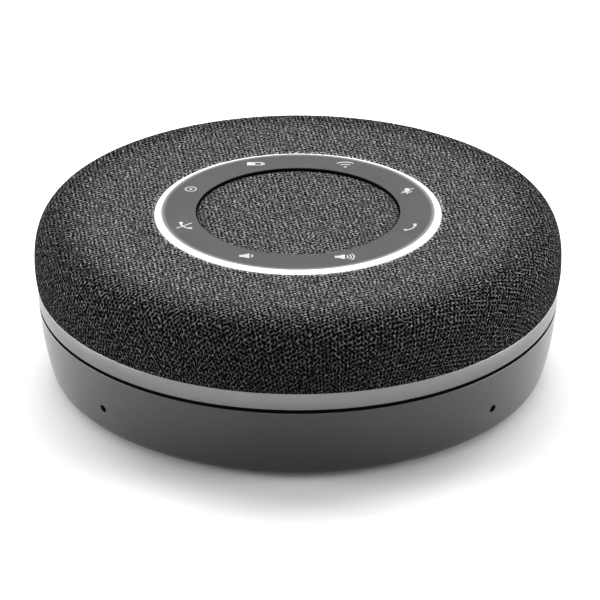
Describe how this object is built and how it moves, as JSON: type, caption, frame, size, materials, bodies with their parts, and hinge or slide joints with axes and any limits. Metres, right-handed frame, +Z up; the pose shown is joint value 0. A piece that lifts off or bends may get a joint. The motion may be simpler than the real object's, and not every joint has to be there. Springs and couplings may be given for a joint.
{
  "type": "conference speakerphone",
  "caption": "Round table-top conference speakerphone: cloth-covered loudspeaker dome, ring of keys and light ring on top, tapered base with microphone holes.",
  "frame": {"origin": "on the table, at the middle of the foot ring, under the centre of the body", "axes": "+Z up through the centre of the body; the front, with the volume keys nearest the user, faces -Y; +X is to the right of a user who looks along +Y"},
  "size_m": [0.132, 0.132, 0.0425],
  "materials": {
    "base_paint": "satin metallic grey with a fine speckle",
    "band_metal": "fine bead-blasted",
    "seam_black": "matte",
    "cloth": "dark grey mottled knit",
    "key_plastic": "smooth matte",
    "light_guide": "frosted clear, lit white",
    "black_plastic": "lightly textured",
    "button_plastic": "smooth matte",
    "foot_rubber": "matte",
    "surround_rubber": "satin",
    "steel": "plain",
    "ferrite": "fired",
    "copper": "enamelled wire",
    "cone_pulp": "pressed pulp",
    "spider_cloth": "impregnated weave",
    "basket_paint": "satin",
    "circuit_board": "solder mask",
    "chip_black": "moulded",
    "emitter": "clear",
    "battery_wrap": "shrink wrap",
    "foam": "closed-cell",
    "screw_black": "black zinc"
  },
  "bodies": {
    "root": {"base_shell": "base_paint", "bottom_plate": "black_plastic", "foot_ring": "foot_rubber", "mid_frame": "seam_black", "metal_band": "band_metal", "grille_frame": "black_plastic", "outer_cloth": "cloth", "centre_grille": "black_plastic", "inner_cloth": "cloth", "light_ring": "light_guide", "key_guide": "black_plastic", "key_domes": "steel", "key_board": "circuit_board", "light_emitters": "emitter", "key_carrier": "black_plastic", "speaker_basket": "basket_paint", "speaker_front_plate": "steel", "speaker_magnet": "ferrite", "speaker_pole": "steel", "speaker_surround": "surround_rubber", "speaker_spider": "spider_cloth", "speaker_gasket": "foam", "speaker_screws": "steel", "baffle": "black_plastic", "chamber_tub": "black_plastic", "chamber_screws": "steel", "carrier_screws": "steel", "radiator_frames": "basket_paint", "radiator_surround_left": "surround_rubber", "radiator_surround_right": "surround_rubber", "battery_pack": "battery_wrap", "battery_tray": "black_plastic", "battery_foam": "foam", "main_board": "circuit_board", "board_chips": "chip_black", "board_screws": "steel", "inlet_socket": "steel", "power_switch": "chip_black", "mic_boards": "circuit_board", "mic_seals": "foot_rubber", "body_screws": "screw_black"},
    "cone": {"speaker_cone": "cone_pulp", "speaker_dust_cap": "cone_pulp", "speaker_coil": "copper"},
    "key_function": {"key_function": "key_plastic"},
    "key_battery": {"key_battery": "key_plastic"},
    "key_wireless": {"key_wireless": "key_plastic"},
    "key_mic_mute": {"key_mic_mute": "key_plastic"},
    "key_answer": {"key_answer": "key_plastic"},
    "key_volume_up": {"key_volume_up": "key_plastic"},
    "key_volume_down": {"key_volume_down": "key_plastic"},
    "key_end_call": {"key_end_call": "key_plastic"},
    "radiator_left": {"radiator_plate_left": "steel"},
    "radiator_right": {"radiator_plate_right": "steel"},
    "power_button": {"power_button": "button_plastic"}
  },
  "joints": [
    {"name": "key_function_press", "type": "slide", "parent": "root", "child": "key_function", "axis": [0, 0, -1], "range_m": [0, 0.0003], "stiffness_N_per_m": 3000},
    {"name": "key_battery_press", "type": "slide", "parent": "root", "child": "key_battery", "axis": [0, 0, -1], "range_m": [0, 0.0003], "stiffness_N_per_m": 3000},
    {"name": "key_wireless_press", "type": "slide", "parent": "root", "child": "key_wireless", "axis": [0, 0, -1], "range_m": [0, 0.0003], "stiffness_N_per_m": 3000},
    {"name": "key_mic_mute_press", "type": "slide", "parent": "root", "child": "key_mic_mute", "axis": [0, 0, -1], "range_m": [0, 0.0003], "stiffness_N_per_m": 3000},
    {"name": "key_answer_press", "type": "slide", "parent": "root", "child": "key_answer", "axis": [0, 0, -1], "range_m": [0, 0.0003], "stiffness_N_per_m": 3000},
    {"name": "key_volume_up_press", "type": "slide", "parent": "root", "child": "key_volume_up", "axis": [0, 0, -1], "range_m": [0, 0.0003], "stiffness_N_per_m": 3000},
    {"name": "key_volume_down_press", "type": "slide", "parent": "root", "child": "key_volume_down", "axis": [0, 0, -1], "range_m": [0, 0.0003], "stiffness_N_per_m": 3000},
    {"name": "key_end_call_press", "type": "slide", "parent": "root", "child": "key_end_call", "axis": [0, 0, -1], "range_m": [0, 0.0003], "stiffness_N_per_m": 3000},
    {"name": "power_press", "type": "slide", "parent": "root", "child": "power_button", "axis": [-0.4695, -0.8829, 0], "range_m": [0, 0.0005], "stiffness_N_per_m": 3000},
    {"name": "cone_slide", "type": "slide", "parent": "root", "child": "cone", "axis": [0, 0, 1], "range_m": [-0.002, 0.002], "stiffness_N_per_m": 1500, "deforming": ["speaker_surround", "speaker_spider"]},
    {"name": "radiator_left_slide", "type": "slide", "parent": "root", "child": "radiator_left", "axis": [0, 0, 1], "range_m": [-0.0015, 0.0015], "stiffness_N_per_m": 1500, "deforming": ["radiator_surround_left"]},
    {"name": "radiator_right_slide", "type": "slide", "parent": "root", "child": "radiator_right", "axis": [0, 0, 1], "range_m": [-0.0015, 0.0015], "stiffness_N_per_m": 1500, "deforming": ["radiator_surround_right"]}
  ]
}
